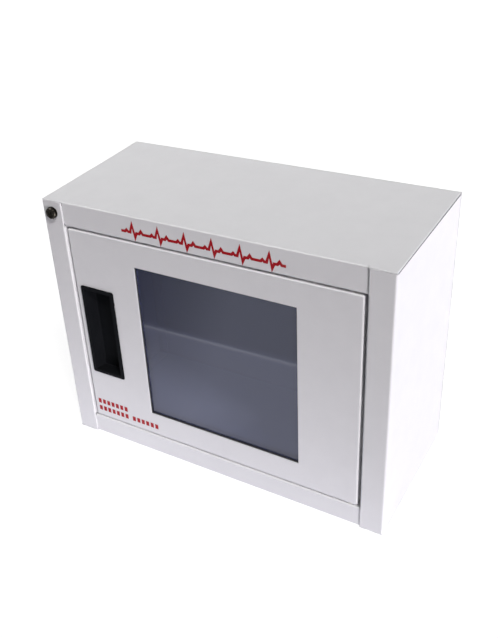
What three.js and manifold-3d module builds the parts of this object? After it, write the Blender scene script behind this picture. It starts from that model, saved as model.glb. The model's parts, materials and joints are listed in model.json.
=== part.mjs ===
// Surface-mounted steel wall cabinet for a defibrillator, with an alarmed door.
// Millimetres. +X is to the viewer's right, +Y points at the wall, +Z is up.
// The origin is at the middle of the base, halfway from the key switch's nose to the wall face.

import * as THREE from 'three';
import { mergeVertices } from 'three/addons/utils/BufferGeometryUtils.js';
import Module from 'manifold-3d';

const wasm = await Module();
wasm.setup();

// ---------------------------------------------------------------- driving dimensions

const WIDTH = 387; // 15 1/4 in
const HEIGHT = 305; // 12 in
const DEPTH = 177; // 7 in, from the stiles' faces to the wall face
const SHEET = 1.2; // cabinet steel
const DOOR_SHEET = 1.2; // door and retainer steel
const BEND = 2; // outside radius of a fold
const DOOR_BEND = 1.6; // outside radius of the door's folds
const BEND_STEPS = 6;
const GAP = 0.3; // clearance left between pieces that touch
const TOP_SEAM = 1.1; // open seam between the top sheet and the side panels, filled with sealant

const STILE = 25.2; // width of the two uprights beside the door
const HEADER = 28.2; // height of the strip above the door
const RAIL = 24.7; // height of the strip below the door
const FLANGE = 14; // weld flanges inside the side panels
const LATCH_JAMB = 36; // depth of the fold that carries the catch and the door switch
const HINGE_JAMB = 15; // depth of the fold beside the hinges
const FRAME_RETURN = 15; // depth of the folds above and below the door

const DOOR = { left: -165.8, right: 164.8, bottom: 26.7, top: 274.6, depth: 14, corner: 2 };
const WINDOW = { left: -83.6, right: 100, bottom: 56.3, top: 246.1 };
const HANDLE = { left: -158.9, right: -115.5, bottom: 93.1, top: 207.7 };
const PANE = 3; // acrylic
const GASKET = 1; // foam glazing tape

const KEY = { x: -180.6, z: 291.4, proud: 5, barrel: 5, bezel: 6.6 };
const PIVOT_INSET = { side: 8.5, front: 7 }; // hinge axis, from the door's edge and from its face
const PIN_RADIUS = 3;
const WALL_HOLES = { x: 150, low: 150, high: 270, radius: 4 };

const CATCH_Z = 153; // middle of the magnetic catch
const CATCH_SCREW = { y: -60, reach: 29 }; // reach is up and down from CATCH_Z
const SWITCH = { x: -158.8, z: 262, plate: -58.3 }; // door switch axis, and the front of its plate
const ALARM = { y: 20, z: 254, half: 40, depth: 29.7, wall: 2, stud: 46 };
const CABLE_HOLE = { x: 14, z: 22, radius: 5 }; // in the alarm case's front wall, from the case's middle

// ---------------------------------------------------------------- derived places

const HALF = WIDTH / 2;
const BACK = (DEPTH + KEY.proud) / 2;
const STILE_FACE = BACK - DEPTH;
const FRAME_FACE = STILE_FACE + SHEET + GAP; // the header, rail and door sit behind the stiles' sheet
const FRAME_BACK = FRAME_FACE + SHEET;
const STILE_INNER = HALF - STILE;
const OPENING_TOP = HEIGHT - HEADER;
const PANEL_BOTTOM = SHEET + GAP;
const PANEL_TOP = HEIGHT - SHEET - TOP_SEAM;
const STILE_TOP = HEIGHT - SHEET - GAP;
const WALL_INNER = HALF - SHEET;
const DOOR_BACK = FRAME_FACE + DOOR.depth;
const SKIN_BACK = FRAME_FACE + DOOR_SHEET;
const PANE_FRONT = SKIN_BACK + GASKET + 2 * GAP;
const RETAINER_FRONT = PANE_FRONT + PANE + GAP;
const PIVOT = { x: DOOR.right - PIVOT_INSET.side, y: FRAME_FACE + PIVOT_INSET.front };
const CASE_X = -WALL_INNER + GAP; // the alarm case's back, against the left side panel

// ---------------------------------------------------------------- finishes

const FINISHES = {
  whitePaint: { color: 0xf1f1f2, roughness: 0.42, metalness: 0 },
  blackPlastic: { color: 0x141517, roughness: 0.5, metalness: 0 },
  acrylic: { color: 0xb4bccb, roughness: 0.05, metalness: 0, transparent: true, opacity: 0.3 },
  foam: { color: 0x26262a, roughness: 0.9, metalness: 0 },
  zinc: { color: 0xb9bcc0, roughness: 0.35, metalness: 1 },
  blackNickel: { color: 0x4a4845, roughness: 0.15, metalness: 1 },
  brass: { color: 0xc79a4b, roughness: 0.3, metalness: 1 },
  nylon: { color: 0xe8e6dd, roughness: 0.5, metalness: 0 },
  magnet: { color: 0x33302e, roughness: 0.7, metalness: 0.2 },
  board: { color: 0x1f5d3a, roughness: 0.5, metalness: 0 },
  batteryCase: { color: 0x3a4656, roughness: 0.35, metalness: 0.3 },
  redWire: { color: 0xa81a1a, roughness: 0.45, metalness: 0 },
  blackWire: { color: 0x17171a, roughness: 0.45, metalness: 0 },
};

// ---------------------------------------------------------------- solids and shapes

// A closed three.js geometry as a manifold-3d solid.
function toSolid(geometry) {
  const bare = geometry.clone();
  bare.deleteAttribute('normal');
  bare.deleteAttribute('uv');
  const merged = mergeVertices(bare, 1e-4);
  return new wasm.Manifold(new wasm.Mesh({
    numProp: 3,
    vertProperties: merged.attributes.position.array,
    triVerts: new Uint32Array(merged.index.array),
  }));
}

function toGeometry(solid) {
  const made = solid.getMesh();
  const geometry = new THREE.BufferGeometry();
  geometry.setAttribute('position', new THREE.BufferAttribute(made.vertProperties, 3));
  geometry.setIndex(new THREE.BufferAttribute(made.triVerts, 1));
  return geometry;
}

function part(name, shape, finish) {
  const geometry = shape.isBufferGeometry ? shape : toGeometry(shape);
  const mesh = new THREE.Mesh(geometry, new THREE.MeshStandardMaterial(FINISHES[finish]));
  mesh.name = name;
  return mesh;
}

function place(object, x, y, z, turn = {}) {
  object.position.set(x, y, z);
  object.rotation.set(turn.x ?? 0, turn.y ?? 0, turn.z ?? 0);
  return object;
}

// A box from its low and high corners.
function block(x0, x1, y0, y1, z0, z1) {
  const geometry = new THREE.BoxGeometry(x1 - x0, y1 - y0, z1 - z0);
  return toSolid(geometry.translate((x0 + x1) / 2, (y0 + y1) / 2, (z0 + z1) / 2));
}

// Where a flat outline's axes, and the axis that it is extruded along, point.
const OUTLINE_AXES = {
  x: [new THREE.Vector3(0, 1, 0), new THREE.Vector3(0, 0, 1), new THREE.Vector3(1, 0, 0)],
  y: [new THREE.Vector3(1, 0, 0), new THREE.Vector3(0, 0, 1), new THREE.Vector3(0, -1, 0)],
  z: [new THREE.Vector3(1, 0, 0), new THREE.Vector3(0, 1, 0), new THREE.Vector3(0, 0, 1)],
};

// An outline in the plane across an axis, extruded along that axis from one place to another.
function prism(axis, outline, from, to, options = {}) {
  const shape = Array.isArray(outline) ? new THREE.Shape(outline) : outline;
  const settings = { depth: to - from, bevelEnabled: false, curveSegments: 6, ...options };
  const geometry = new THREE.ExtrudeGeometry(shape, settings);
  geometry.applyMatrix4(new THREE.Matrix4().makeBasis(...OUTLINE_AXES[axis]));
  const start = OUTLINE_AXES[axis][2].clone().multiplyScalar(axis === 'y' ? -to : from);
  return toSolid(geometry.translate(start.x, start.y, start.z));
}

// An upright outline with a rounded edge round its front face.
function easedPrism(outline, front, back, ease, steps) {
  const spare = 2 * ease; // carries the rear edge's rounding, which is cut off
  const solid = prism('y', outline, front + ease, back + spare, {
    bevelEnabled: true,
    bevelThickness: ease,
    bevelSize: ease,
    bevelOffset: -ease,
    bevelSegments: steps,
    curveSegments: 4,
  });
  return solid.subtract(block(-HALF, HALF, back, back + 2 * spare, -1, HEIGHT));
}

const at = (u, v) => new THREE.Vector2(u, v);

// The section of a folded sheet whose middle line runs through the corners given.
function foldedStrip(corners, thickness) {
  const radius = BEND - thickness / 2;
  const line = [];
  const add = (point, normal) => line.push({ point, normal });
  const leftOf = (direction) => at(-direction.y, direction.x);
  corners.forEach((corner, i) => {
    const before = i > 0 ? corner.clone().sub(corners[i - 1]).normalize() : null;
    const after = i < corners.length - 1 ? corners[i + 1].clone().sub(corner).normalize() : null;
    if (!before || !after) {
      add(corner, leftOf(before ?? after));
      return;
    }
    const turn = Math.atan2(before.cross(after), before.dot(after));
    const side = Math.sign(turn);
    const start = corner.clone().addScaledVector(before, -radius * Math.tan(Math.abs(turn) / 2));
    const middle = start.clone().addScaledVector(leftOf(before), side * radius);
    for (let k = 0; k <= BEND_STEPS; k++) {
      const normal = leftOf(before).rotateAround(at(0, 0), (turn * k) / BEND_STEPS);
      add(middle.clone().addScaledVector(normal, -side * radius), normal);
    }
  });
  const offset = (amount) => line.map((p) => p.point.clone().addScaledVector(p.normal, amount));
  return [...offset(thickness / 2), ...offset(-thickness / 2).reverse()];
}

function roundedOutline(left, right, bottom, top, radius) {
  const shape = new THREE.Shape();
  shape.absarc(right - radius, top - radius, radius, 0, Math.PI / 2);
  shape.absarc(left + radius, top - radius, radius, Math.PI / 2, Math.PI);
  shape.absarc(left + radius, bottom + radius, radius, Math.PI, Math.PI * 1.5);
  shape.absarc(right - radius, bottom + radius, radius, Math.PI * 1.5, Math.PI * 2);
  shape.closePath();
  return shape;
}

// A turned part: [radius, height] pairs from the foot up to the tip, on or round the local Y axis.
function turned(profile, sides = 24) {
  return new THREE.LatheGeometry(profile.map(([r, y]) => at(r, y)), sides);
}

function ring(inner, outer, from, to, sides = 24) {
  return turned([[inner, from], [outer, from], [outer, to], [inner, to], [inner, from]], sides);
}

// A round bar from one place to another on the named axis, through (u, v) in the plane across it.
function rod(axis, radius, from, to, u, v, sides = 24) {
  const geometry = new THREE.CylinderGeometry(radius, radius, to - from, sides);
  const middle = (from + to) / 2;
  if (axis === 'x') return toSolid(geometry.rotateZ(-Math.PI / 2).translate(middle, u, v));
  if (axis === 'y') return toSolid(geometry.translate(u, middle, v));
  return toSolid(geometry.rotateX(Math.PI / 2).translate(u, v, middle));
}

// A hexagon nut or bolt head along the local Y axis, with two flats square to local Z.
function hexagon(acrossFlats, height, bore) {
  const corner = acrossFlats / 2 / Math.cos(Math.PI / 6);
  const sixths = [0, 1, 2, 3, 4, 5].map((k) => (k * Math.PI) / 3);
  const outline = sixths.map((a) => at(corner * Math.cos(a), corner * Math.sin(a)));
  const body = prism('y', outline, 0, height);
  return bore ? body.subtract(rod('y', bore, -1, height + 1, 0, 0, bore > 4 ? 24 : 12)) : body;
}

// A round wire along a smooth curve through the points given.
function wire(points, radius) {
  const sides = [0, 1, 2, 3, 4, 5, 6, 7].map((k) => (k * Math.PI) / 4);
  const section = new THREE.Shape(sides.map((a) => at(radius * Math.cos(a), radius * Math.sin(a))));
  const curve = new THREE.CatmullRomCurve3(points.map((p) => new THREE.Vector3(...p)));
  const steps = Math.round(curve.getLength() / (3 * radius));
  return new THREE.ExtrudeGeometry(section, { steps, extrudePath: curve, bevelEnabled: false });
}

// ---------------------------------------------------------------- cabinet shell

// Top, back and bottom in one folded sheet, with the header and the rail as its front folds.
function cabinetWrapper() {
  const half = SHEET / 2;
  const front = FRAME_FACE + half;
  const betweenStiles = foldedStrip([
    at(FRAME_FACE + FRAME_RETURN, OPENING_TOP + half),
    at(front, OPENING_TOP + half),
    at(front, HEIGHT - half),
    at(BACK - half, HEIGHT - half),
    at(BACK - half, half),
    at(front, half),
    at(front, RAIL - half),
    at(FRAME_FACE + FRAME_RETURN, RAIL - half),
  ], SHEET);
  const overStiles = foldedStrip([
    at(STILE_FACE, HEIGHT - half),
    at(BACK - half, HEIGHT - half),
    at(BACK - half, half),
    at(STILE_FACE, half),
  ], SHEET);
  let shell = prism('x', betweenStiles, -STILE_INNER, STILE_INNER);
  shell = shell.add(prism('x', overStiles, -HALF, -STILE_INNER));
  shell = shell.add(prism('x', overStiles, STILE_INNER, HALF));

  // Tabs that lap behind the stiles, where they are spot welded.
  const lapEnd = HALF - 3.5;
  for (const [low, high] of [[OPENING_TOP + 3, HEIGHT - 5.5], [4, RAIL - 3]]) {
    shell = shell.add(block(-lapEnd, -STILE_INNER + 1, FRAME_FACE, FRAME_BACK, low, high));
    shell = shell.add(block(STILE_INNER - 1, lapEnd, FRAME_FACE, FRAME_BACK, low, high));
  }

  const holes = [
    rod('y', KEY.barrel + GAP, FRAME_FACE - 1, FRAME_BACK + 1, KEY.x, KEY.z),
    rod('z', PIN_RADIUS + GAP, RAIL - 3, RAIL + 1, PIVOT.x, PIVOT.y),
    rod('z', PIN_RADIUS + GAP, OPENING_TOP - 1, OPENING_TOP + 3, PIVOT.x, PIVOT.y),
  ];
  for (const x of [-WALL_HOLES.x, WALL_HOLES.x]) {
    for (const z of [WALL_HOLES.low, WALL_HOLES.high]) {
      holes.push(rod('y', WALL_HOLES.radius, BACK - 3, BACK + 1, x, z, 16));
    }
  }
  return holes.reduce((solid, hole) => solid.subtract(hole), shell);
}

// The stile's inner edge above and below the door, dressed to a quarter round.
function dressedEdge(side, low, high) {
  const x = side * (STILE_INNER + SHEET);
  const round = rod('z', SHEET, low, high, x, STILE_FACE + SHEET);
  const [near, far] = [side * (STILE_INNER - 1), x + side * 0.1].sort((a, b) => a - b);
  return round.intersect(block(near, far, STILE_FACE - 1, STILE_FACE + SHEET, low - 1, high + 1));
}

// A side panel: its front fold is the stile, whose inner edge folds back beside the door.
function sidePanel(side, jambDepth) {
  const half = SHEET / 2;
  const rear = BACK - SHEET - GAP - half;
  const plan = (corners) => foldedStrip(corners.map(([x, y]) => at(side * x, y)), SHEET);
  const toStile = [
    [HALF - FLANGE, rear],
    [HALF - half, rear],
    [HALF - half, STILE_FACE + half],
  ];
  const flat = plan([...toStile, [STILE_INNER + SHEET, STILE_FACE + half]]);
  const withJamb = plan([
    ...toStile,
    [STILE_INNER + half, STILE_FACE + half],
    [STILE_INNER + half, STILE_FACE + jambDepth],
  ]);
  const jambLow = RAIL + 0.5;
  const jambHigh = OPENING_TOP - 0.5;
  let panel = prism('z', withJamb, jambLow, jambHigh);
  for (const [low, high] of [[PANEL_BOTTOM, jambLow], [jambHigh, PANEL_TOP]]) {
    panel = panel.add(prism('z', flat, low, high)).add(dressedEdge(side, low, high));
  }

  // The stile's own face stands a little taller than the side, close under the top sheet.
  const face = [side * (STILE_INNER + SHEET), side * (HALF - BEND)].sort((a, b) => a - b);
  panel = panel.add(block(...face, STILE_FACE, STILE_FACE + SHEET, PANEL_TOP - 1, STILE_TOP));
  panel = panel.add(dressedEdge(side, PANEL_TOP - 1, STILE_TOP));

  const flange = [side * (HALF - FLANGE), side * HALF].sort((a, b) => a - b);
  for (const low of [PANEL_BOTTOM, PANEL_TOP - SHEET]) {
    panel = panel.add(block(...flange, STILE_FACE + 6, rear - 3, low, low + SHEET));
  }
  return panel;
}

// The left panel also has the key switch's hole, the catch's screw holes and the alarm's studs.
function leftSidePanel() {
  let panel = sidePanel(-1, LATCH_JAMB);
  panel = panel.subtract(rod('y', KEY.barrel + GAP, STILE_FACE - 1, STILE_FACE + 3, KEY.x, KEY.z));
  for (const z of [CATCH_Z - CATCH_SCREW.reach, CATCH_Z + CATCH_SCREW.reach]) {
    const face = -STILE_INNER;
    panel = panel.subtract(rod('x', 1.95, face - 3, face + 1, CATCH_SCREW.y, z, 12));
  }
  for (const y of [ALARM.y - ALARM.stud, ALARM.y + ALARM.stud]) {
    panel = panel.add(rod('x', 2, -WALL_INNER - 0.5, -WALL_INNER + 8, y, ALARM.z, 12));
  }
  return panel;
}

// ---------------------------------------------------------------- hinge pins

const HEAD_RADIUS = 5;
const PIN_REACH = 9; // how far a pin goes into the door

function lowerPin() {
  const head = [[0, RAIL - 4], [HEAD_RADIUS, RAIL - 4], [HEAD_RADIUS, RAIL - SHEET - GAP]];
  const tip = DOOR.bottom + PIN_REACH;
  const shank = [[PIN_RADIUS, RAIL - SHEET - GAP], [PIN_RADIUS, tip - 1], [PIN_RADIUS - 1, tip], [0, tip]];
  return turned([...head, ...shank]);
}

function upperPin() {
  const underHead = OPENING_TOP + SHEET + GAP;
  const tip = DOOR.top - PIN_REACH;
  const shank = turned([
    [0, tip],
    [PIN_RADIUS - 1, tip],
    [PIN_RADIUS, tip + 1],
    [PIN_RADIUS, underHead + 1],
    [0, underHead + 1],
  ]);
  const head = hexagon(2 * HEAD_RADIUS, 4, 0).translate([0, underHead, 0]);
  return toSolid(shank).add(head);
}

// A nylon bush whose flange bears on the inside of the door's top or bottom fold.
function hingeBush() {
  const bore = PIN_RADIUS + 0.2;
  return turned([
    [bore, 0],
    [4.35, 0],
    [4.35, DOOR_SHEET + GAP],
    [5.5, DOOR_SHEET + GAP],
    [5.5, DOOR_SHEET + GAP + 1.2],
    [4.35, DOOR_SHEET + GAP + 1.2],
    [4.35, 7],
    [bore, 7],
    [bore, 0],
  ]);
}

function hingeHardware() {
  const group = place(new THREE.Group(), PIVOT.x, PIVOT.y, 0);
  const upright = { x: Math.PI / 2 }; // turns a part made along Y to stand along Z
  const washer = ring(PIN_RADIUS + 0.2, 5.5, RAIL + GAP, DOOR.bottom - GAP);
  group.add(
    place(part('hinge_pin_lower', lowerPin(), 'zinc'), 0, 0, 0, upright),
    place(part('hinge_screw_upper', upperPin(), 'zinc'), 0, 0, 0, upright),
    place(part('hinge_thrust_washer', washer, 'nylon'), 0, 0, 0, upright),
  );
  return group;
}

// ---------------------------------------------------------------- magnetic catch

const CATCH = { half: 19, back: -52.3, front: -67.7, poles: -68.4 };
const POLES = [[-165.3, -163.9], [-159.1, -157.7]];

function catchHousing() {
  const jamb = -STILE_INNER + GAP;
  const low = CATCH_Z - CATCH.half;
  const high = CATCH_Z + CATCH.half;
  let housing = block(jamb, -155.3, CATCH.front, CATCH.back, low, high);
  housing = housing.add(block(jamb, jamb + 3, -66, -54, low - 15, high + 15));
  housing = housing.subtract(block(-165.6, -157.4, CATCH.front - 1, -56, low + 4, high - 4));
  for (const z of [CATCH_Z - CATCH_SCREW.reach, CATCH_Z + CATCH_SCREW.reach]) {
    housing = housing.subtract(rod('x', 2.05, jamb - 1, jamb + 4, CATCH_SCREW.y, z, 12));
  }
  return housing;
}

// A pan-head screw along local X: its head's underside is at 0 and its point at -length.
function panScrew(shank, head, headHeight, length) {
  const profile = [
    [0, -length],
    [shank * 0.4, -length],
    [shank, -length + 1.5],
    [shank, 0],
    [head, 0],
    [head, headHeight * 0.5],
    [head * 0.7, headHeight],
    [0, headHeight],
  ];
  const screw = toSolid(turned(profile, 16).rotateZ(-Math.PI / 2));
  const slotLow = headHeight * 0.45;
  const slot = block(slotLow, headHeight + 1, -0.4, 0.4, -head * 0.62, head * 0.62);
  const cross = block(slotLow, headHeight + 1, -head * 0.62, head * 0.62, -0.4, 0.4);
  return screw.subtract(slot.add(cross));
}

function magneticCatch() {
  const group = new THREE.Group();
  const low = CATCH_Z - CATCH.half + 4 + GAP;
  const high = CATCH_Z + CATCH.half - 4 - GAP;
  const bar = block(POLES[0][1] + GAP, POLES[1][0] - GAP, CATCH.front + 0.2, -56.3, low, high);
  group.add(part('catch_housing', catchHousing(), 'nylon'), part('catch_magnet', bar, 'magnet'));
  POLES.forEach(([x0, x1], i) => {
    const plate = block(x0, x1, CATCH.poles, -56.3, low, high);
    group.add(part(`catch_pole_plate_${i + 1}`, plate, 'zinc'));
  });
  const headSeat = -STILE_INNER + GAP + 3 + GAP;
  for (const [name, z] of [['lower', -CATCH_SCREW.reach], ['upper', CATCH_SCREW.reach]]) {
    const screw = part(`catch_screw_${name}`, panScrew(1.75, 3.5, 2, 9), 'zinc');
    group.add(place(screw, headSeat, CATCH_SCREW.y, CATCH_Z + z));
  }
  return group;
}

// ---------------------------------------------------------------- key switch

const NOSE = -KEY.proud; // everything in the group is measured from the stile's face
const KEY_REAR = 26;

function keyBarrel() {
  const bore = 3.9;
  const crown = 1.9; // radius of the bezel's rounded edge
  const quarter = [0, 1, 2, 3, 4, 5].map((k) => (k * Math.PI) / 10);
  return turned([
    [bore, KEY_REAR - 6],
    [bore, NOSE + 0.4],
    [bore + 0.3, NOSE],
    ...quarter.map((a) => [KEY.bezel - crown + crown * Math.sin(a), NOSE + crown - crown * Math.cos(a)]),
    [KEY.bezel, -GAP],
    [KEY.barrel, -GAP],
    [KEY.barrel, KEY_REAR - GAP],
    [2.6, KEY_REAR - GAP],
    [2.6, KEY_REAR - 6],
    [bore, KEY_REAR - 6],
  ]);
}

function keyPlug() {
  const plug = toSolid(turned([
    [0, NOSE + 0.6],
    [3.2, NOSE + 0.6],
    [3.6, NOSE + 1],
    [3.6, KEY_REAR - 7],
    [2.2, KEY_REAR - 7],
    [2.2, KEY_REAR - 1],
    [0, KEY_REAR - 1],
  ]));
  const keyway = block(-0.6, 0.6, NOSE - 1, NOSE + 9, -2.5, 2.5);
  const ward = block(-0.6, 1.2, NOSE - 1, NOSE + 9, 0.5, 1.5);
  return plug.subtract(keyway.add(ward));
}

function keySwitch() {
  const group = place(new THREE.Group(), KEY.x, STILE_FACE, KEY.z);
  const behind = FRAME_BACK - STILE_FACE + GAP; // where the washer sits, behind both sheets
  const washer = ring(KEY.barrel + 0.2, KEY.bezel, behind, behind + 0.7);
  const nut = hexagon(13, 3, KEY.barrel + 0.2);
  const contacts = block(-6, 6, KEY_REAR, KEY_REAR + 11, -6, 6);
  group.add(
    part('key_switch_barrel', keyBarrel(), 'blackNickel'),
    part('key_switch_plug', keyPlug(), 'blackNickel'),
    part('key_switch_washer', washer, 'zinc'),
    place(part('key_switch_nut', nut, 'zinc'), 0, behind + 0.7 + GAP, 0),
    part('key_switch_contacts', contacts, 'blackPlastic'),
  );
  ['left', 'right'].forEach((name, i) => {
    const x = (i - 0.5) * 6;
    const tab = block(x - 0.4, x + 0.4, KEY_REAR + 11 + GAP, KEY_REAR + 19, -1.4, 1.4);
    group.add(part(`key_switch_tab_${name}`, tab, 'brass'));
  });
  return group;
}

// ---------------------------------------------------------------- door switch

const SWITCH_BODY = { front: -6, rear: 20, radius: 4.8, bore: 2.5 };

// An angle on the latch jamb that holds the switch behind the door's inner lip.
function switchBracket() {
  const thick = 1.2;
  const foot = -STILE_INNER + GAP - SWITCH.x;
  const reach = 9;
  const plate = block(foot, reach, 0, thick, -10, 10);
  const flange = block(foot, foot + thick, 0, thick + 7, -10, 10);
  return plate.add(flange).subtract(rod('y', 5.1, -1, 3, 0, 0));
}

function switchBody() {
  const { front, rear, radius, bore } = SWITCH_BODY;
  return turned([
    [bore, front],
    [3.8, front],
    [radius, front + 1.5],
    [radius, -2.3],
    [6.5, -2.3],
    [6.5, -GAP],
    [radius, -GAP],
    [radius, rear],
    [0, rear],
    [0, rear - 5],
    [bore, rear - 5],
    [bore, front],
  ]);
}

function switchPlunger() {
  const tip = DOOR_BACK + GAP - SWITCH.plate;
  return turned([
    [0, tip],
    [1.2, tip],
    [2, tip + 0.8],
    [2, SWITCH_BODY.front + 10],
    [0, SWITCH_BODY.front + 10],
  ]);
}

function doorSwitch() {
  const group = place(new THREE.Group(), SWITCH.x, SWITCH.plate, SWITCH.z);
  const nut = hexagon(13, 2.5, SWITCH_BODY.radius + 0.2);
  group.add(
    part('switch_bracket', switchBracket(), 'zinc'),
    part('door_switch_body', switchBody(), 'blackPlastic'),
    part('door_switch_plunger', switchPlunger(), 'nylon'),
    place(part('door_switch_nut', nut, 'blackPlastic'), 0, 1.2 + GAP, 0),
  );
  return group;
}

// ---------------------------------------------------------------- alarm unit

// Everything here is measured from the middle of the case's back, with +X into the cabinet.
const BOSSES = [[-34, 34], [34, -34]];
const SIREN = { y: 14, z: 12, radius: 15 };
const BOARD = { back: 2.8, face: 4.4 };
const BOARD_POSTS = [-24, 33];
const M4 = { flats: 7, height: 3.2, bore: 2.2 };

function alarmCase() {
  const { half, depth, wall, stud } = ALARM;
  const inner = half - wall;
  let tray = block(0, depth, -half, half, -half, half);
  tray = tray.subtract(block(wall, depth + 1, -inner, inner, -inner, inner));
  tray = tray.add(block(0, wall, -stud - 6, stud + 6, -8, 8));
  for (const y of [-stud, stud]) tray = tray.subtract(rod('x', 2.3, -1, wall + 1, y, 0, 12));
  for (const [y, z] of BOSSES) {
    const [webLow, webHigh] = [y, Math.sign(y) * (inner + 1)].sort((a, b) => a - b);
    tray = tray.add(rod('x', 3.5, wall - 0.5, depth, y, z, 16));
    tray = tray.add(block(wall - 0.5, depth, webLow, webHigh, z - 1, z + 1));
    tray = tray.subtract(rod('x', 1.6, depth - 12, depth + 1, y, z, 12));
  }
  for (const z of BOARD_POSTS) {
    tray = tray.add(rod('x', 2.5, wall - 0.5, BOARD.back - GAP, 16, z, 12));
  }
  return tray.subtract(rod('y', CABLE_HOLE.radius, -half - 1, -inner + 1, CABLE_HOLE.x, CABLE_HOLE.z, 16));
}

function alarmLid() {
  const { half, depth, wall } = ALARM;
  const low = depth + GAP;
  let lid = prism('x', roundedOutline(-half, half, -half, half, 3), low, low + wall);
  for (const [y, z] of BOSSES) lid = lid.subtract(rod('x', 1.7, low - 1, low + wall + 1, y, z, 12));
  const rings = [[0, 1], [6, 6]]; // distance from the siren's axis, and how many holes
  for (const [distance, count] of rings) {
    for (let k = 0; k < count; k++) {
      const angle = (2 * Math.PI * k) / count;
      const y = SIREN.y + distance * Math.cos(angle);
      const z = SIREN.z + distance * Math.sin(angle);
      lid = lid.subtract(rod('x', 1.6, low - 1, low + wall + 1, y, z, 12));
    }
  }
  return lid;
}

function siren() {
  const front = ALARM.depth - 0.5;
  const profile = [
    [0, 13],
    [SIREN.radius - 1, 13],
    [SIREN.radius, 14],
    [SIREN.radius, front],
    [4, front],
    [4, front - 6],
    [0, front - 6],
  ];
  return turned(profile).rotateZ(-Math.PI / 2);
}

function circuitBoard() {
  const { back, face } = BOARD;
  const board = block(back, face, -4, 36, -28, 37);
  const terminalBlock = block(face - 0.1, 13, -2, 8, 26, 36);
  const relay = block(face - 0.1, 12, 12, 28, -24, -12);
  const chip = block(face - 0.1, 7.4, -1, 7, -20, -10);
  const capacitor = rod('x', 3, face - 0.1, 12, 3, 4, 12);
  return [terminalBlock, relay, chip, capacitor].reduce((all, piece) => all.add(piece), board);
}

const BATTERY = { x: [2.8, 20.3], y: [-35, -8.5], z: [-37, 9.5] };
const STUD_TOP = BATTERY.z[1] + 2.2;

function battery() {
  const middleX = (BATTERY.x[0] + BATTERY.x[1]) / 2;
  const middleY = (BATTERY.y[0] + BATTERY.y[1]) / 2;
  let cell = prism('z', roundedOutline(...BATTERY.x, ...BATTERY.y, 1.5), ...BATTERY.z, { curveSegments: 3 });
  for (const y of [middleY - 6.35, middleY + 6.35]) {
    cell = cell.add(rod('z', 2.8, BATTERY.z[1] - 0.2, STUD_TOP, middleX, y, 16));
  }
  return cell;
}

function batterySnap() {
  const low = STUD_TOP + GAP;
  const outline = roundedOutline(BATTERY.x[0] + 1, BATTERY.x[1] - 1, BATTERY.y[0] + 1, BATTERY.y[1] - 1, 3);
  return prism('z', outline, low, low + 4.5, { curveSegments: 4 });
}

function alarmUnit() {
  const group = place(new THREE.Group(), CASE_X, ALARM.y, ALARM.z);
  group.add(
    part('alarm_case', alarmCase(), 'blackPlastic'),
    part('alarm_lid', alarmLid(), 'blackPlastic'),
    place(part('siren', siren(), 'blackPlastic'), 0, SIREN.y, SIREN.z),
    part('alarm_circuit_board', circuitBoard(), 'board'),
    part('battery_9v', battery(), 'batteryCase'),
    part('battery_snap', batterySnap(), 'blackPlastic'),
  );
  BOSSES.forEach(([y, z], i) => {
    const screw = part(`alarm_lid_screw_${i + 1}`, panScrew(1.4, 2.8, 1.8, 9), 'zinc');
    group.add(place(screw, ALARM.depth + ALARM.wall + 2 * GAP, y, z));
  });
  ['front', 'rear'].forEach((name, i) => {
    const nut = part(`alarm_nut_${name}`, hexagon(M4.flats, M4.height, M4.bore), 'zinc');
    const y = (i * 2 - 1) * ALARM.stud;
    group.add(place(nut, ALARM.wall + GAP, y, 0, { z: -Math.PI / 2 }));
  });
  return group;
}

// ---------------------------------------------------------------- leads

const LEAD_RADIUS = 0.8;

// The four signal leads share the case's cable hole, a little apart.
function leads() {
  const group = new THREE.Group();
  const hole = { x: CASE_X + CABLE_HOLE.x, y: ALARM.y - ALARM.half, z: ALARM.z + CABLE_HOLE.z };
  const board = { x: CASE_X + 8, y: ALARM.y - 2 - GAP, z: ALARM.z + 31 };
  const keyTabs = STILE_FACE + KEY_REAR + 19 + GAP;
  const switchRear = SWITCH.plate + SWITCH_BODY.rear + GAP;
  const intoCase = (dx, dz) => [
    [hole.x + dx, hole.y - 3, hole.z + dz],
    [hole.x + dx, hole.y + 5, hole.z + dz],
    [board.x + dx, board.y - 8, board.z + dz],
    [board.x + dx, board.y, board.z + dz],
  ];
  const add = (name, points, finish) => group.add(part(name, wire(points, LEAD_RADIUS), finish));
  for (const [name, side, finish] of [['red', -1, 'redWire'], ['black', 1, 'blackWire']]) {
    const dx = side * 1.6;
    const x = KEY.x + side * 3;
    add(`key_lead_${name}`, [
      [x, keyTabs, KEY.z],
      [x, keyTabs + 4, KEY.z - 0.5],
      [(x + hole.x + dx) / 2, keyTabs + 10, KEY.z - 6],
      ...intoCase(dx, 1.6),
    ], finish);
    add(`door_lead_${name}`, [
      [SWITCH.x + dx, switchRear, SWITCH.z],
      [SWITCH.x + dx, switchRear + 4, SWITCH.z + 0.5],
      [SWITCH.x - 7 + dx, switchRear + 9, SWITCH.z + 6],
      ...intoCase(dx, -1.6),
    ], finish);
  }

  const snap = { x: CASE_X + 11, y: ALARM.y + BATTERY.y[1] - 1 + GAP, z: ALARM.z + STUD_TOP + 2.5 };
  for (const [name, side, finish] of [['red', -1, 'redWire'], ['black', 1, 'blackWire']]) {
    const dx = side * 1.6;
    add(`battery_lead_${name}`, [
      [snap.x + dx, snap.y, snap.z],
      [snap.x + dx, snap.y + 5, snap.z + 0.5],
      [snap.x - 3 + dx, snap.y + 9, snap.z + 4],
      [snap.x - 3 + dx, snap.y + 10, ALARM.z + 26 - GAP],
    ], finish);
  }
  return group;
}

// ---------------------------------------------------------------- door

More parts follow.
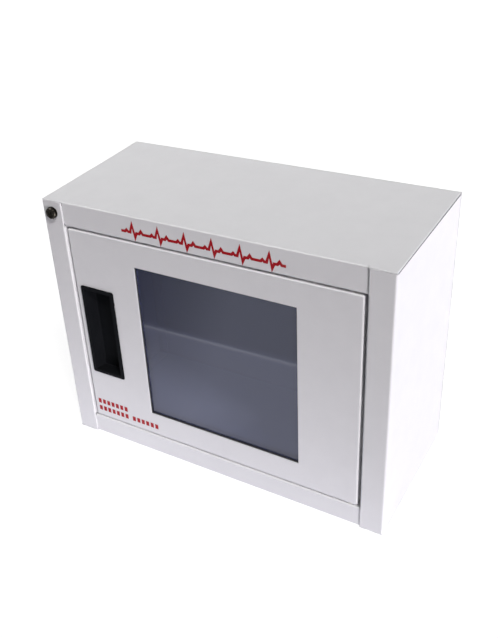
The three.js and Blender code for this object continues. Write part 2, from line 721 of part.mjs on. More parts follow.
const STUDS = [60, 152.5, 245].flatMap((z) => [[WINDOW.left - 11, z], [WINDOW.right + 11, z]]);
const STRIKE = { left: -165.6, right: -157, reach: 31, rivet: 26.5, x: -161.3 };

// The outside of a pan whose inset is 0, or its hollow, whose inset is the sheet's thickness.
function panBlock(inset, front, back) {
  const outline = roundedOutline(
    DOOR.left + inset,
    DOOR.right - inset,
    DOOR.bottom + inset,
    DOOR.top - inset,
    DOOR.corner - inset,
  );
  return easedPrism(outline, front, back, DOOR_BEND - inset, 5);
}

function doorSkin() {
  let skin = panBlock(0, FRAME_FACE, DOOR_BACK);
  skin = skin.subtract(panBlock(DOOR_SHEET, SKIN_BACK, DOOR_BACK + 1));
  const lipLeft = DOOR.left + DOOR_SHEET / 2;
  const lipFront = DOOR_BACK - DOOR_SHEET;
  skin = skin.add(block(lipLeft, -156.8, lipFront, DOOR_BACK, DOOR.bottom + 8, DOOR.top - 8));
  for (const [x, z] of STUDS) skin = skin.add(rod('y', 2, SKIN_BACK - 0.4, SKIN_BACK + 11, x, z, 12));

  const through = [FRAME_FACE - 1, SKIN_BACK + 1];
  const cuts = [
    block(WINDOW.left, WINDOW.right, ...through, WINDOW.bottom, WINDOW.top),
    block(HANDLE.left + 2.6, HANDLE.right - 2.6, ...through, HANDLE.bottom + 2.6, HANDLE.top - 2.6),
    rod('z', 4.6, DOOR.bottom - 1, DOOR.bottom + 3, PIVOT.x, PIVOT.y),
    rod('z', 4.6, DOOR.top - 3, DOOR.top + 1, PIVOT.x, PIVOT.y),
  ];
  for (const z of [CATCH_Z - STRIKE.rivet, CATCH_Z + STRIKE.rivet]) {
    cuts.push(rod('y', 1.7, lipFront - 1, DOOR_BACK + 1, STRIKE.x, z, 12));
  }
  return cuts.reduce((solid, cut) => solid.subtract(cut), skin);
}

// A flat rectangular frame round the window, from its outer margin in to its inner margin.
function windowFrame(outer, inner, front, back) {
  const { left, right, bottom, top } = WINDOW;
  const sheet = block(left - outer, right + outer, front, back, bottom - outer, top + outer);
  return sheet.subtract(
    block(left - inner, right + inner, front - 1, back + 1, bottom - inner, top + inner),
  );
}

function windowPane() {
  const margin = 8;
  const outline = roundedOutline(
    WINDOW.left - margin,
    WINDOW.right + margin,
    WINDOW.bottom - margin,
    WINDOW.top + margin,
    2,
  );
  return prism('y', outline, PANE_FRONT, PANE_FRONT + PANE, { curveSegments: 3 });
}

function paneRetainer() {
  const back = RETAINER_FRONT + DOOR_SHEET;
  const frame = windowFrame(15, 1.5, RETAINER_FRONT, back);
  return STUDS.reduce(
    (solid, [x, z]) => solid.subtract(rod('y', 2.3, RETAINER_FRONT - 1, back + 1, x, z, 12)),
    frame,
  );
}

// The recessed pull: a bezel on the door's face and a cup behind it. The cup's side wall
// leans out towards its mouth, and the fingers hook behind the lip at the other side.
function handleCup() {
  const { left, right, bottom, top } = HANDLE;
  const face = FRAME_FACE - 1.7;
  const floor = FRAME_FACE + 12.5;
  const wall = 1.6;
  const bezel = easedPrism(roundedOutline(left, right, bottom, top, 2.5), face, FRAME_FACE - 0.2, 1, 3);
  const inset = 2.9;
  const cup = block(
    left + inset,
    right - inset,
    FRAME_FACE - 1,
    floor + wall,
    bottom + inset,
    top - inset,
  );
  const mouth = { left: left + 4, right: right - 4.6, bottom: bottom + 4.2, top: top - 4.2 };
  const wallFoot = mouth.left + 3.2;
  const cove = 1.8; // between the leaning wall and the floor
  const hollow = prism('z', [
    at(mouth.left, face - 1),
    at(mouth.left, face + 0.8),
    at(wallFoot, floor - cove),
    at(wallFoot + cove * 0.3, floor - cove * 0.3),
    at(wallFoot + cove, floor),
    at(right - inset - wall, floor),
    at(right - inset - wall, FRAME_FACE + 1.4),
    at(mouth.right, FRAME_FACE + 0.6),
    at(mouth.right, face - 1),
  ], mouth.bottom, mouth.top);
  return bezel.add(cup).subtract(hollow);
}

function strikePlate() {
  const { left, right, reach, rivet, x } = STRIKE;
  const front = DOOR_BACK + GAP;
  let plate = block(left, right, front, front + 1.5, CATCH_Z - reach, CATCH_Z + reach);
  for (const z of [CATCH_Z - rivet, CATCH_Z + rivet]) {
    plate = plate.subtract(rod('y', 1.7, front - 1, front + 3, x, z, 12));
  }
  return plate;
}

// A rivet through the strike plate and the door's lip, with a low head at each end.
function strikeRivet() {
  const lipFront = DOOR_BACK - DOOR_SHEET;
  const plateBack = DOOR_BACK + GAP + 1.5;
  return turned([
    [0, lipFront - 1.3],
    [2, lipFront - 1.3],
    [2.6, lipFront - GAP],
    [1.5, lipFront - GAP],
    [1.5, plateBack + 0.2],
    [2.8, plateBack + 0.2],
    [1.8, plateBack + 0.9],
    [0, plateBack + 0.9],
  ], 16);
}

function door() {
  const group = new THREE.Group();
  const gasketFront = SKIN_BACK + GAP;
  const gasket = windowFrame(7, -0.8, gasketFront, gasketFront + GASKET);
  group.add(
    part('door_skin', doorSkin(), 'whitePaint'),
    part('window_gasket', gasket, 'foam'),
    part('window_pane', windowPane(), 'acrylic'),
    part('pane_retainer', paneRetainer(), 'zinc'),
    part('handle_cup', handleCup(), 'blackPlastic'),
    part('strike_plate', strikePlate(), 'zinc'),
  );
  const nutSeat = RETAINER_FRONT + DOOR_SHEET + GAP;
  STUDS.forEach(([x, z], i) => {
    const nut = part(`retainer_nut_${i + 1}`, hexagon(M4.flats, M4.height, M4.bore), 'zinc');
    group.add(place(nut, x, nutSeat, z));
  });
  for (const [name, z] of [['lower', -STRIKE.rivet], ['upper', STRIKE.rivet]]) {
    const rivet = part(`strike_rivet_${name}`, strikeRivet(), 'zinc');
    group.add(place(rivet, STRIKE.x, 0, CATCH_Z + z));
  }
  const lowerBush = part('hinge_bush_lower', hingeBush(), 'nylon');
  const upperBush = part('hinge_bush_upper', hingeBush(), 'nylon');
  group.add(place(lowerBush, PIVOT.x, PIVOT.y, DOOR.bottom, { x: Math.PI / 2 }));
  group.add(place(upperBush, PIVOT.x, PIVOT.y, DOOR.top, { x: -Math.PI / 2 }));
  return group;
}

// ---------------------------------------------------------------- assembly

const cabinet = new THREE.Group();
cabinet.add(
  part('cabinet_wrapper', cabinetWrapper(), 'whitePaint'),
  part('side_panel_left', leftSidePanel(), 'whitePaint'),
  part('side_panel_right', sidePanel(1, HINGE_JAMB), 'whitePaint'),
  hingeHardware(),
  magneticCatch(),
  keySwitch(),
  doorSwitch(),
  alarmUnit(),
  leads(),
  door(),
);

export default cabinet;
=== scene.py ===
"""Looks for a steel wall cabinet for a defibrillator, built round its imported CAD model.

Metres. +X is to the viewer's right, +Y points at the wall, +Z is up.
"""

import json
import math

import bmesh
import bpy
from mathutils import Euler, Matrix, Vector


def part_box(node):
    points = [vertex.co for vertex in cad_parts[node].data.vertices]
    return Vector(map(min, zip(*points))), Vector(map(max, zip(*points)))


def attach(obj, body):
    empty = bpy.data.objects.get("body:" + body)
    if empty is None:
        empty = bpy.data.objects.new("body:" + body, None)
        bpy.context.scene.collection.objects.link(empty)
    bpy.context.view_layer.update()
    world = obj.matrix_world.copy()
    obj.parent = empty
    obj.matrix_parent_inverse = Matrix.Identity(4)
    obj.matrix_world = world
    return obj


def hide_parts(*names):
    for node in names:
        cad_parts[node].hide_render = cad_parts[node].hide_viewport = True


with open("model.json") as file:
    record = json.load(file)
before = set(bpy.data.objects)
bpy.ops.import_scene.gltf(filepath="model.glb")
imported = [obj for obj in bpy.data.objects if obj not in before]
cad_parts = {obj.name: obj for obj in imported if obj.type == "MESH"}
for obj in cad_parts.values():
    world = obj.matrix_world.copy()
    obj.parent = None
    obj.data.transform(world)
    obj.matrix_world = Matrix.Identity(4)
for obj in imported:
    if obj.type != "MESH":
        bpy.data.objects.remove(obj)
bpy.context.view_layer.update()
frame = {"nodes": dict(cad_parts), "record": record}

MM = 0.001
WHITE = (1.0, 1.0, 1.0)
RECORD = frame["record"]
BODY_OF = {node: body for body, nodes in RECORD["behaviour"]["bodies"].items() for node in nodes}
SLOT_OF = {part["node"]: part["material_slot"] for part in RECORD["subparts"]}


# ---------------------------------------------------------------- camera

CAMERA_PLACE = (0.3927, -0.6830, 0.6611)
CAMERA_AZIMUTH = 34.96
CAMERA_ELEVATION = 31.00
CAMERA_ROLL = -5.25
CAMERA_LENS = 47.86
CAMERA_SENSOR = 36.0
CAMERA_SHIFT = (0.1050, -0.0300)
CAMERA_CLIP = (0.01, 200.0)


def add_camera():
    data = bpy.data.cameras.new("camera")
    data.sensor_width = CAMERA_SENSOR
    data.lens = CAMERA_LENS
    data.shift_x, data.shift_y = CAMERA_SHIFT
    data.clip_start, data.clip_end = CAMERA_CLIP
    camera = bpy.data.objects.new("camera", data)
    bpy.context.collection.objects.link(camera)
    camera.location = CAMERA_PLACE
    tilt = Euler((math.radians(90 - CAMERA_ELEVATION), 0, math.radians(CAMERA_AZIMUTH)))
    roll = Matrix.Rotation(math.radians(CAMERA_ROLL), 3, "Z")
    camera.rotation_euler = (tilt.to_matrix() @ roll).to_euler()
    bpy.context.scene.camera = camera


# ---------------------------------------------------------------- shader building blocks

def new_material(name):
    """A material with an empty node tree and its output."""
    material = bpy.data.materials.new(name)
    material.use_nodes = True
    tree = material.node_tree
    tree.nodes.clear()
    return material, tree, tree.nodes.new("ShaderNodeOutputMaterial")


def add_node(tree, kind, inputs=None, **settings):
    """A shader node with its settings, and its inputs, by name or place, as values or sockets to link."""
    made = tree.nodes.new(kind)
    for key, value in settings.items():
        setattr(made, key, value)
    for key, value in (inputs or {}).items():
        if isinstance(value, bpy.types.NodeSocket):
            tree.links.new(value, made.inputs[key])
        else:
            made.inputs[key].default_value = value
    return made


def rgb(red, green, blue):
    return (red, green, blue, 1.0)


def place_in_frame(tree):
    """The point being shaded, in metres in its own body's frame."""
    return add_node(tree, "ShaderNodeTexCoord").outputs["Object"]


def way_in_world(tree):
    """The direction that a ray leaves in, for the world's own shader."""
    return add_node(tree, "ShaderNodeTexCoord").outputs["Generated"]


def noise(tree, where, scale, detail=2.0, roughness=0.5, distortion=0.0):
    """Noise from 0 to 1, with about `scale` blobs to the metre."""
    inputs = {
        "Vector": where,
        "Scale": scale,
        "Detail": detail,
        "Roughness": roughness,
        "Distortion": distortion,
    }
    return add_node(tree, "ShaderNodeTexNoise", inputs).outputs["Fac"]


def ramp(tree, value, low, high, out_low, out_high):
    """Stretches a value from one range to another, clamped."""
    inputs = {
        "Value": value,
        "From Min": low,
        "From Max": high,
        "To Min": out_low,
        "To Max": out_high,
    }
    return add_node(tree, "ShaderNodeMapRange", inputs).outputs["Result"]


# Where a Mix node keeps its factor, its two colours and the colour it gives.
MIX_FACTOR, MIX_FIRST, MIX_SECOND = 0, 6, 7
MIX_RESULT = 2


def blend_colours(tree, amount, first, second):
    """The first colour at an amount of 0, and the second at 1."""
    inputs = {MIX_FACTOR: amount, MIX_FIRST: first, MIX_SECOND: second}
    return add_node(tree, "ShaderNodeMix", inputs, data_type="RGBA").outputs[MIX_RESULT]


def bump(tree, height, strength, distance, under=None):
    """A normal that leans with the height, over the normal that lies under it."""
    inputs = {"Height": height, "Strength": strength, "Distance": distance}
    if under is not None:
        inputs["Normal"] = under
    return add_node(tree, "ShaderNodeBump", inputs).outputs["Normal"]


def principled(tree, **inputs):
    """A Principled shader, with its inputs named by underscores for spaces."""
    named = {key.replace("_", " "): value for key, value in inputs.items()}
    return add_node(tree, "ShaderNodeBsdfPrincipled", named).outputs["BSDF"]


def surface(tree, output, **inputs):
    """A Principled shader on the material's output."""
    tree.links.new(principled(tree, **inputs), output.inputs["Surface"])


# ---------------------------------------------------------------- materials

PEEL_SCALE = 750
PEEL_STRENGTH = 0.10
PEEL_HEIGHT = 0.12 * MM


def powder_coat():
    """White satin powder coat: a fine orange peel, a slow ripple in the sheet, faint handling dust."""
    material, tree, output = new_material("powder_coat")
    where = place_in_frame(tree)
    peel = noise(tree, where, PEEL_SCALE, detail=3.0, roughness=0.45)
    ripple = noise(tree, where, 14, detail=1.0)
    normal = bump(tree, ripple, 0.06, 1.2 * MM)
    normal = bump(tree, peel, PEEL_STRENGTH, PEEL_HEIGHT, under=normal)
    dust = noise(tree, where, 38, detail=6.0, roughness=0.65)
    tone = ramp(tree, dust, 0.35, 0.75, 0.0, 1.0)
    colour = blend_colours(tree, tone, rgb(0.765, 0.762, 0.772), rgb(0.74, 0.737, 0.748))
    gloss = ramp(tree, noise(tree, where, 90, detail=4.0), 0.3, 0.7, 0.46, 0.54)
    surface(tree, output, Base_Color=colour, Roughness=gloss, Normal=normal)
    return material


def moulded_plastic(name, colour, paler, roughness, shine=0.4):
    """Spark-textured moulded plastic with a slightly uneven sheen."""
    material, tree, output = new_material(name)
    where = place_in_frame(tree)
    grain = noise(tree, where, 1900, detail=2.0, roughness=0.6)
    smudge = noise(tree, where, 55, detail=5.0, roughness=0.6)
    tone = blend_colours(tree, ramp(tree, smudge, 0.35, 0.7, 0.0, 1.0), colour, paler)
    gloss = ramp(tree, smudge, 0.3, 0.7, roughness - 0.05, roughness + 0.06)
    normal = bump(tree, grain, 0.25, 0.05 * MM)
    surface(
        tree,
        output,
        Base_Color=tone,
        Roughness=gloss,
        Specular_IOR_Level=shine,
        Normal=normal,
    )
    return material


FILM_SHARE = 0.25


def acrylic():
    """Clear acrylic with a smoke tint, under a glossy film with a faint haze of handling marks."""
    material, tree, output = new_material("acrylic")
    where = place_in_frame(tree)
    smear = noise(tree, where, 30, detail=5.0, roughness=0.6, distortion=0.6)
    gloss = ramp(tree, smear, 0.35, 0.75, 0.02, 0.06)
    haze = blend_colours(
        tree,
        ramp(tree, smear, 0.3, 0.8, 0.0, 1.0),
        rgb(0.050, 0.053, 0.085),
        rgb(0.065, 0.068, 0.105),
    )
    film = principled(
        tree,
        Base_Color=haze,
        Roughness=gloss,
        IOR=1.8,
        Specular_IOR_Level=1.0,
        Specular_Tint=rgb(0.84, 0.86, 1.0),
    )
    tint = {"Color": rgb(0.50, 0.53, 0.66)}
    clear = add_node(tree, "ShaderNodeBsdfTransparent", tint).outputs["BSDF"]
    mixed = add_node(tree, "ShaderNodeMixShader", {"Fac": FILM_SHARE, 1: clear, 2: film})
    tree.links.new(mixed.outputs["Shader"], output.inputs["Surface"])
    return material


def plated_metal(name, colour, paler, roughness, brushed=0.15):
    """Plated steel: a faint drawn grain, clouded passivation and a metal's reflection."""
    material, tree, output = new_material(name)
    where = place_in_frame(tree)
    stretched = add_node(tree, "ShaderNodeMapping", {"Vector": where, "Scale": (1.0, 1.0, 14.0)})
    grain = noise(tree, stretched.outputs["Vector"], 320, detail=3.0)
    cloud = noise(tree, where, 120, detail=4.0, roughness=0.6)
    tone = blend_colours(tree, ramp(tree, cloud, 0.35, 0.7, 0.0, 1.0), colour, paler)
    gloss = ramp(tree, cloud, 0.3, 0.7, roughness - 0.04, roughness + 0.08)
    normal = bump(tree, grain, brushed, 0.03 * MM)
    surface(tree, output, Base_Color=tone, Metallic=1.0, Roughness=gloss, Normal=normal)
    return material


def foam():
    """Closed-cell glazing tape."""
    material, tree, output = new_material("foam")
    where = place_in_frame(tree)
    cells = add_node(tree, "ShaderNodeTexVoronoi", {"Vector": where, "Scale": 2200.0})
    normal = bump(tree, cells.outputs["Distance"], 0.5, 0.1 * MM)
    tone = ramp(tree, cells.outputs["Distance"], 0.0, 0.8, 0.0, 1.0)
    colour = blend_colours(tree, tone, rgb(0.016, 0.016, 0.019), rgb(0.032, 0.032, 0.037))
    surface(tree, output, Base_Color=colour, Roughness=0.9, Normal=normal)
    return material


def ferrite():
    """Sintered ferrite: dark, fine-grained and a little glittery."""
    material, tree, output = new_material("ferrite")
    where = place_in_frame(tree)
    grit = noise(tree, where, 2600, detail=3.0, roughness=0.7)
    colour = blend_colours(tree, grit, rgb(0.030, 0.028, 0.027), rgb(0.060, 0.056, 0.054))
    normal = bump(tree, grit, 0.4, 0.06 * MM)
    surface(tree, output, Base_Color=colour, Metallic=0.25, Roughness=0.6, Normal=normal)
    return material


def circuit_board():
    """Green solder mask over faint copper tracks."""
    material, tree, output = new_material("circuit_board")
    where = place_in_frame(tree)
    tracks = add_node(
        tree,
        "ShaderNodeTexBrick",
        {"Vector": where, "Scale": 260.0, "Mortar Size": 0.06, "Bias": -0.2},
    ).outputs["Fac"]
    colour = blend_colours(tree, tracks, rgb(0.012, 0.105, 0.040), rgb(0.030, 0.190, 0.075))
    normal = bump(tree, tracks, 0.3, 0.05 * MM)
    surface(tree, output, Base_Color=colour, Roughness=0.35, Normal=normal)
    return material


def red_ink():
    """Screen-printed ink: slightly uneven, with an orange peel like the coat's."""
    material, tree, output = new_material("red_ink")
    where = place_in_frame(tree)
    mottle = noise(tree, where, 420, detail=3.0)
    colour = blend_colours(tree, mottle, rgb(0.33, 0.0008, 0.005), rgb(0.41, 0.002, 0.009))
    normal = bump(tree, noise(tree, where, PEEL_SCALE, detail=3.0), PEEL_STRENGTH, PEEL_HEIGHT)
    surface(
        tree,
        output,
        Base_Color=colour,
        Roughness=0.45,
        Specular_IOR_Level=0.15,
        Normal=normal,
    )
    return material


FLOOR_GLOW = 0.84


def studio_floor():
    """A matt grey floor that glows, so it is white to the camera and still takes a shadow."""
    material, tree, output = new_material("studio_floor")
    where = place_in_frame(tree)
    mottle = noise(tree, where, 3.0, detail=3.0)
    colour = blend_colours(tree, mottle, rgb(0.24, 0.24, 0.24), rgb(0.26, 0.26, 0.26))
    surface(
        tree,
        output,
        Base_Color=colour,
        Roughness=0.8,
        Emission_Color=rgb(*WHITE),
        Emission_Strength=FLOOR_GLOW,
    )
    return material


def make_materials():
    """Every slot's material, by the slot's name."""
    black = (rgb(0.0076, 0.0083, 0.0098), rgb(0.0098, 0.0105, 0.0122))
    nylon = (rgb(0.74, 0.72, 0.66), rgb(0.80, 0.79, 0.74))
    return {
        "powder_coat": powder_coat(),
        "black_plastic": moulded_plastic("black_plastic", *black, 0.45, 0.01),
        "acrylic": acrylic(),
        "foam": foam(),
        "zinc": plated_metal("zinc", rgb(0.60, 0.61, 0.63), rgb(0.70, 0.71, 0.72), 0.30),
        "black_nickel": plated_metal(
            "black_nickel", rgb(0.011, 0.010, 0.0088), rgb(0.030, 0.027, 0.022), 0.08, 0.02
        ),
        "brass": plated_metal("brass", rgb(0.70, 0.52, 0.24), rgb(0.78, 0.60, 0.30), 0.28),
        "nylon": moulded_plastic("nylon", *nylon, 0.45),
        "ferrite": ferrite(),
        "circuit_board": circuit_board(),
        "battery_jacket": moulded_plastic(
            "battery_jacket", rgb(0.035, 0.055, 0.10), rgb(0.045, 0.07, 0.12), 0.28
        ),
        "red_wire": moulded_plastic("red_wire", rgb(0.42, 0.012, 0.012), rgb(0.48, 0.02, 0.02), 0.38),
        "black_wire": moulded_plastic("black_wire", *black, 0.38),
        "red_print": red_ink(),
    }


MATERIALS = make_materials()


# ---------------------------------------------------------------- finished meshes from CAD ones

WELD = 0.002 * MM
FLAT = math.radians(0.4)
CUT_EDGE = math.radians(32)
NEAR = 0.05 * MM
WRAPPER_LOW, WRAPPER_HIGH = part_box("cabinet_wrapper")
RIM_RADIUS = 1.0 * MM
RIM_STEPS = 4
EDGE_STEPS = 2
SHEET = 1.2 * MM
SHEET_GAP = 0.3 * MM
SHEET_LIFT = 0.8 * MM  # how much taller a stile's face is than its panel's side


def link(name, mesh, body, slot):
    """A piece in the scene, riding on its body, with its material."""
    piece = bpy.data.objects.new(name, mesh)
    bpy.context.collection.objects.link(piece)
    mesh.materials.clear()
    mesh.materials.append(MATERIALS[slot])
    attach(piece, body)
    return piece


def clean_copy(node):
    """The CAD node's mesh, welded, with each flat face whole again."""
    bm = bmesh.new()
    bm.from_mesh(frame["nodes"][node].data)
    bmesh.ops.remove_doubles(bm, verts=bm.verts, dist=WELD)
    bmesh.ops.dissolve_limit(bm, angle_limit=FLAT, verts=bm.verts, edges=bm.edges)
    mesh = bpy.data.meshes.new(node + "_finished")
    bm.to_mesh(mesh)
    bm.free()
    return mesh


def round_edges(piece, width):
    """Rounds the cut edges and leaves the folds smooth."""
    mesh = piece.data
    mesh.shade_smooth()
    mesh.set_sharp_from_angle(angle=CUT_EDGE)
    bevel = piece.modifiers.new("cut_edges", "BEVEL")
    bevel.limit_method = "ANGLE"
    bevel.angle_limit = CUT_EDGE
    bevel.width = width
    bevel.segments = EDGE_STEPS
    bevel.use_clamp_overlap = False
    weighted = piece.modifiers.new("flat_faces", "WEIGHTED_NORMAL")
    weighted.mode = "FACE_AREA"
    weighted.keep_sharp = True


def extent(mesh):
    """The lowest and highest corner of a mesh."""
    axes = [[vertex.co[axis] for vertex in mesh.vertices] for axis in range(3)]
    return [min(axis) for axis in axes], [max(axis) for axis in axes]


def bake_within(piece, low, high):
    """Applies the modifiers, and draws back any bevel's corner that overshoots the CAD solid's extent."""
    depsgraph = bpy.context.evaluated_depsgraph_get()
    mesh = bpy.data.meshes.new_from_object(piece.evaluated_get(depsgraph))
    piece.modifiers.clear()
    piece.data = mesh
    for vertex in mesh.vertices:
        for axis in range(3):
            vertex.co[axis] = min(max(vertex.co[axis], low[axis]), high[axis])


def fold_over(mesh, picked):
    """Rounds the picked edges well over, as the sheet's folded rim is."""
    bm = bmesh.new()
    bm.from_mesh(mesh)
    rims = [edge for edge in bm.edges if picked(edge.verts[0].co, edge.verts[1].co)]
    bmesh.ops.bevel(
        bm, geom=rims, offset=RIM_RADIUS, segments=RIM_STEPS, profile=0.5, affect="EDGES"
    )
    bm.to_mesh(mesh)
    bm.free()


def on_top_rim(a, b):
    """Whether an edge runs along the top sheet's outer rim: its two sides and its ends over the stiles."""
    if min(a.z, b.z) < WRAPPER_HIGH.z - NEAR:
        return False
    beside = min(abs(a.x), abs(b.x)) > WRAPPER_HIGH.x - NEAR
    before = max(a.y, b.y) < WRAPPER_LOW.y + NEAR
    return beside or before


def finish_node(node, width):
    """Replaces a CAD node with its own mesh, its edges rounded to a width."""
    mesh = clean_copy(node)
    low, high = extent(mesh)
    if node == "cabinet_wrapper":
        fold_over(mesh, on_top_rim)
    piece = link(node + "_finished", mesh, BODY_OF[node], SLOT_OF[node])
    round_edges(piece, width)
    bake_within(piece, low, high)
    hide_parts(node)


# How wide each piece's cut edges are rounded, in millimetres.
EDGE_WIDTHS = {
    "cabinet_wrapper": 0.35,
    "side_panel_left": 0.25,
    "side_panel_right": 0.25,
    "door_skin": 0.2,
    "handle_cup": 0.4,
    "window_pane": 0.3,
    "pane_retainer": 0.2,
    "strike_plate": 0.3,
    "catch_housing": 0.5,
    "catch_magnet": 0.3,
    "catch_pole_plate_1": 0.15,
    "catch_pole_plate_2": 0.15,
    "switch_bracket": 0.2,
    "alarm_case": 0.5,
    "alarm_lid": 0.5,
    "battery_9v": 0.3,
    "battery_snap": 0.4,
    "alarm_circuit_board": 0.15,
    "key_switch_contacts": 0.4,
    "key_switch_nut": 0.3,
    "siren": 0.4,
}
SMALL_PART_EDGE = 0.15


# ---------------------------------------------------------------- dark beads that darken the top's side seams

SEAM_RECESS = 0.2 * MM
BEAD_DEPTH = 1.6 * MM
BEAD_HOLLOW = 0.15 * MM
BEAD_CLEAR = 0.03 * MM
BEAD_SHORT = {"front": 3 * MM, "back": 4 * MM}  # how far the bead's ends stop short of the panel's


def add_seam_bead(name, side):
    """A dark bead with a hollow face, filling the seam between the top sheet and one side panel, so that
    the seam shows as a dark line.
    """
    panel_low, panel_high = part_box("side_panel_" + name)
    ceiling = WRAPPER_HIGH.z - SHEET - BEAD_CLEAR
    ground = panel_high.z - SHEET_LIFT + BEAD_CLEAR
    face = WRAPPER_HIGH.x - SEAM_RECESS
    section = [
        (face - BEAD_DEPTH, ground),
        (face, ground),
        (face - BEAD_HOLLOW, (ground + ceiling) / 2),
        (face, ceiling),
        (face - BEAD_DEPTH, ceiling),
    ]
    bm = bmesh.new()
    ends = []
    for y in (panel_low.y + BEAD_SHORT["front"], panel_high.y - BEAD_SHORT["back"]):
        ends.append([bm.verts.new((side * x, y, z)) for x, z in section])
    for k in range(len(section)):
        after = (k + 1) % len(section)
        bm.faces.new((ends[0][k], ends[0][after], ends[1][after], ends[1][k]))
    bm.faces.new(ends[0])
    bm.faces.new(ends[1][::-1])
    bmesh.ops.recalc_face_normals(bm, faces=bm.faces)
    mesh = bpy.data.meshes.new("seam_bead_" + name)
    bm.to_mesh(mesh)
    bm.free()
    # The bead takes the black foam's finish only to make the seam's line dark.
    link("seam_bead_" + name, mesh, "cabinet", "foam")


# ---------------------------------------------------------------- printed marks

INK_THICKNESS = 0.06 * MM
HEADER_MARK = {"left": -0.0932, "right": 0.0900, "low": 0.2805, "high": 0.2975, "line": 3.0 * MM}
HEADER_BEATS = 6
NOTICE = {
    "left": -0.1604,
    "low": 0.0352,
    "pitch": 0.0104,
    "height": 6.4 * MM,
    "block": 4.2 * MM,
    "gap": 2.1 * MM,
}
NOTICE_ROWS = ((7, 6), (7,))  # the blocks in each group, from the lowest row up
MITRE_LIMIT = 0.35


def stroke(points, width):
    """The closed outline of a line of even width through the points, with mitred corners."""
    sides = []
    for i, point in enumerate(points):
        before = (point - points[i - 1]).normalized() if i else None
        after = (points[i + 1] - point).normalized() if i < len(points) - 1 else None
        along = ((before or after) + (after or before)).normalized()
        across = Vector((-along.y, along.x))
        ahead = after or before
        reach = width / 2 / max(MITRE_LIMIT, across.dot(Vector((-ahead.y, ahead.x))))
        sides.append((point + across * reach, point - across * reach))
    return sides


def ink_strip(bm, sides, face, depth):
    """A ribbon of ink standing off an upright face, built as a closed strip."""
    rows = []
    for left, right in sides:
        rows.append([
            bm.verts.new((left.x, face - depth, left.y)),
            bm.verts.new((right.x, face - depth, right.y)),
            bm.verts.new((right.x, face, right.y)),
            bm.verts.new((left.x, face, left.y)),
        ])
    for a, b in zip(rows, rows[1:]):
        for k in range(4):
            bm.faces.new((a[k], a[(k + 1) % 4], b[(k + 1) % 4], b[k]))
    bm.faces.new(rows[0][::-1])
    bm.faces.new(rows[-1])


def add_print(name, strips, face, body):
    """One piece of ink, made of several strips, on an upright face."""
    bm = bmesh.new()
    for sides in strips:
        ink_strip(bm, sides, face, INK_THICKNESS)
    bmesh.ops.recalc_face_normals(bm, faces=bm.faces)
    mesh = bpy.data.meshes.new(name)
    bm.to_mesh(mesh)
    bm.free()
    link(name, mesh, body, "red_print")


def heartbeat(mark, beats):
    """A generic heartbeat trace: flat, a small wave, a spike up and down, flat, a larger wave."""
    width = (mark["right"] - mark["left"]) / beats
    low = mark["low"] + mark["line"] / 2
    rise = mark["high"] - mark["low"] - mark["line"]
    rest = 0.36
    shape = [
        (0.0, rest),
        (0.16, rest),
        (0.22, rest + 0.14),
        (0.28, rest),
        (0.36, rest),
        (0.45, 1.0),
        (0.54, 0.0),
        (0.61, rest),
        (0.72, rest),
        (0.79, rest + 0.22),
        (0.86, rest),
    ]
    points = []
    for beat in range(beats):
        for along, height in shape:
            points.append(Vector((mark["left"] + (beat + along) * width, low + rise * height)))
    points.append(Vector((mark["right"], low + rise * rest)))
    return points


def add_header_mark():
    header_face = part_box("side_panel_left")[0].y + SHEET + SHEET_GAP
    trace = stroke(heartbeat(HEADER_MARK, HEADER_BEATS), HEADER_MARK["line"])
    add_print("header_mark", [trace], header_face, "cabinet")


def add_door_notice():
    """Rows of plain blocks in the place of a notice."""
    strips = []
    for row, groups in enumerate(NOTICE_ROWS):
        x = NOTICE["left"]
        z = NOTICE["low"] + row * NOTICE["pitch"] + NOTICE["height"] / 2
        for blocks in groups:
            for _ in range(blocks):
                ends = [Vector((x, z)), Vector((x + NOTICE["block"], z))]
                strips.append(stroke(ends, NOTICE["height"]))
                x += NOTICE["block"] + NOTICE["gap"]
            x += 2 * NOTICE["gap"]
    add_print("door_notice_blocks", strips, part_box("door_skin")[0].y, "door")


# ---------------------------------------------------------------- stage and lights

# Suns: where each comes from, how wide it looks in degrees, its strength and its colour.
SUNS = {
    "key": {"from": (0.80, -0.44, 0.06), "wide": 14, "strength": 1.98, "colour": (1.0, 0.945, 1.0)},
    "high_key": {"from": (0.55, -0.45, 0.85), "wide": 12, "strength": 1.80, "colour": (1.0, 0.99, 0.985)},
    "side_fill": {"from": (1.0, 0.45, 0.02), "wide": 60, "strength": 1.45, "colour": (0.87, 0.88, 1.0)},
    "top_fill": {"from": (0.0, -0.05, 1.0), "wide": 110, "strength": 0.20, "colour": WHITE},
    "rear_fill": {"from": (-0.7, 1.0, 0.12), "wide": 70, "strength": 1.2, "colour": (0.98, 0.99, 1.0)},
}
# Bright windows that only the gloss sees: their highlights run along the folds that face them.
SHEENS = {
    "right_sheen": {"from": (0.75, -0.42, -0.40), "wide": 30, "strength": 4.4, "colour": WHITE},
    "top_sheen": {"from": (-0.47, -0.52, 0.69), "wide": 30, "strength": 3.4, "colour": WHITE},
}
# A white table top in front of the cabinet, and its bright front edge, as lamps that face up.
TABLE_TURN = math.radians(-1.6)
TABLE_PLACE = Vector((-0.3, -0.178, -0.4 * MM))
TABLE = {
    "table_top": {"size": (1.15, 0.23), "ahead": 0.0, "radiance": 0.78, "colour": (0.88, 0.875, 1.0)},
    "table_edge": {"size": (1.15, 0.006), "ahead": 0.118, "radiance": 1.6, "colour": WHITE},
}
# Paler patches of the table at the cabinet's left foot, each inside the last, for the gloss only.
PATCH_PLACE = Vector((-0.20, -0.17, -0.3 * MM))
PATCH_STEP = Vector((0, 0, 0.1 * MM))
PATCH_TURN = math.radians(18)
PATCH_SIZES = ((0.36, 0.16), (0.30, 0.12), (0.24, 0.08))
PATCH_RADIANCE = 0.24
FLOOR_DEPTH = 0.5 * MM
FLOOR_REACH = 60.0
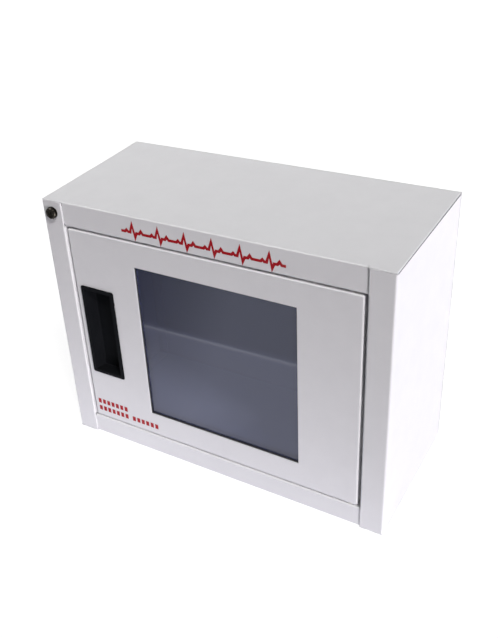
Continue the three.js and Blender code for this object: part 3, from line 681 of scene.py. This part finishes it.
# The backdrop below the horizon steps from dim to bright between two directions across, and the
# horizon itself lies between two directions up.
BELOW_WAYS = (-0.54, -0.44)
BELOW_LEVELS = (0.44, 1.62)
HORIZON_WAYS = (-0.04, -0.018)


def add_lamp(name, kind, **settings):
    """A lamp that the camera doesn't see."""
    data = bpy.data.lights.new(name, kind)
    for key, value in settings.items():
        setattr(data, key, value)
    lamp = bpy.data.objects.new(name, data)
    bpy.context.collection.objects.link(lamp)
    lamp.visible_camera = False
    return lamp


def add_sun(name, spec):
    sun = add_lamp(
        name,
        "SUN",
        energy=spec["strength"],
        angle=math.radians(spec["wide"]),
        color=spec["colour"],
    )
    sun.rotation_euler = Vector(spec["from"]).to_track_quat("Z", "Y").to_euler()
    return sun


def add_panel(name, size, radiance, colour, place, turn):
    """A flat lamp that faces up, as bright all over as a surface of that radiance."""
    wide, deep = size
    panel = add_lamp(
        name,
        "AREA",
        shape="RECTANGLE",
        size=wide,
        size_y=deep,
        energy=radiance * math.pi * wide * deep,
        color=colour,
    )
    panel.location = place
    panel.rotation_euler = (math.pi, 0, turn)
    return panel


def add_lights():
    for name, spec in SUNS.items():
        add_sun(name, spec)
    for name, spec in SHEENS.items():
        add_sun(name, spec).visible_diffuse = False
    for k, size in enumerate(PATCH_SIZES):
        place = PATCH_PLACE + PATCH_STEP * k
        patch = add_panel(f"table_patch_{k + 1}", size, PATCH_RADIANCE, WHITE, place, PATCH_TURN)
        patch.visible_diffuse = False
    forward = Vector((math.sin(TABLE_TURN), -math.cos(TABLE_TURN), 0))
    for name, spec in TABLE.items():
        place = TABLE_PLACE + forward * spec["ahead"]
        add_panel(name, spec["size"], spec["radiance"], spec["colour"], place, TABLE_TURN)


def add_stage():
    """The floor, which takes shadows but lights nothing and shows in no gloss, and the backdrop."""
    bm = bmesh.new()
    bmesh.ops.create_grid(bm, x_segments=1, y_segments=1, size=FLOOR_REACH)
    mesh = bpy.data.meshes.new("floor")
    bm.to_mesh(mesh)
    bm.free()
    mesh.materials.append(studio_floor())
    floor = bpy.data.objects.new("floor", mesh)
    floor.location.z = -FLOOR_DEPTH
    floor.visible_diffuse = False
    floor.visible_glossy = False
    bpy.context.collection.objects.link(floor)
    add_backdrop()
    bpy.context.scene.view_settings.view_transform = "Standard"


def add_backdrop():
    """White above the horizon, and below it, where only the gloss looks, dim to the left of a step."""
    world = bpy.data.worlds.new("studio")
    bpy.context.scene.world = world
    world.use_nodes = True
    tree = world.node_tree
    way = add_node(tree, "ShaderNodeSeparateXYZ", {"Vector": way_in_world(tree)}).outputs
    below = ramp(tree, way["X"], *BELOW_WAYS, *BELOW_LEVELS)
    level = ramp(tree, way["Z"], *HORIZON_WAYS, below, 1.0)
    background = tree.nodes["Background"]
    background.inputs["Color"].default_value = rgb(*WHITE)
    tree.links.new(level, background.inputs["Strength"])
    world.cycles_visibility.diffuse = False


# ---------------------------------------------------------------- assembly

add_camera()
add_stage()
add_lights()
for node_name in sorted(SLOT_OF):
    finish_node(node_name, EDGE_WIDTHS.get(node_name, SMALL_PART_EDGE) * MM)
add_header_mark()
add_door_notice()
add_seam_bead("left", -1)
add_seam_bead("right", 1)
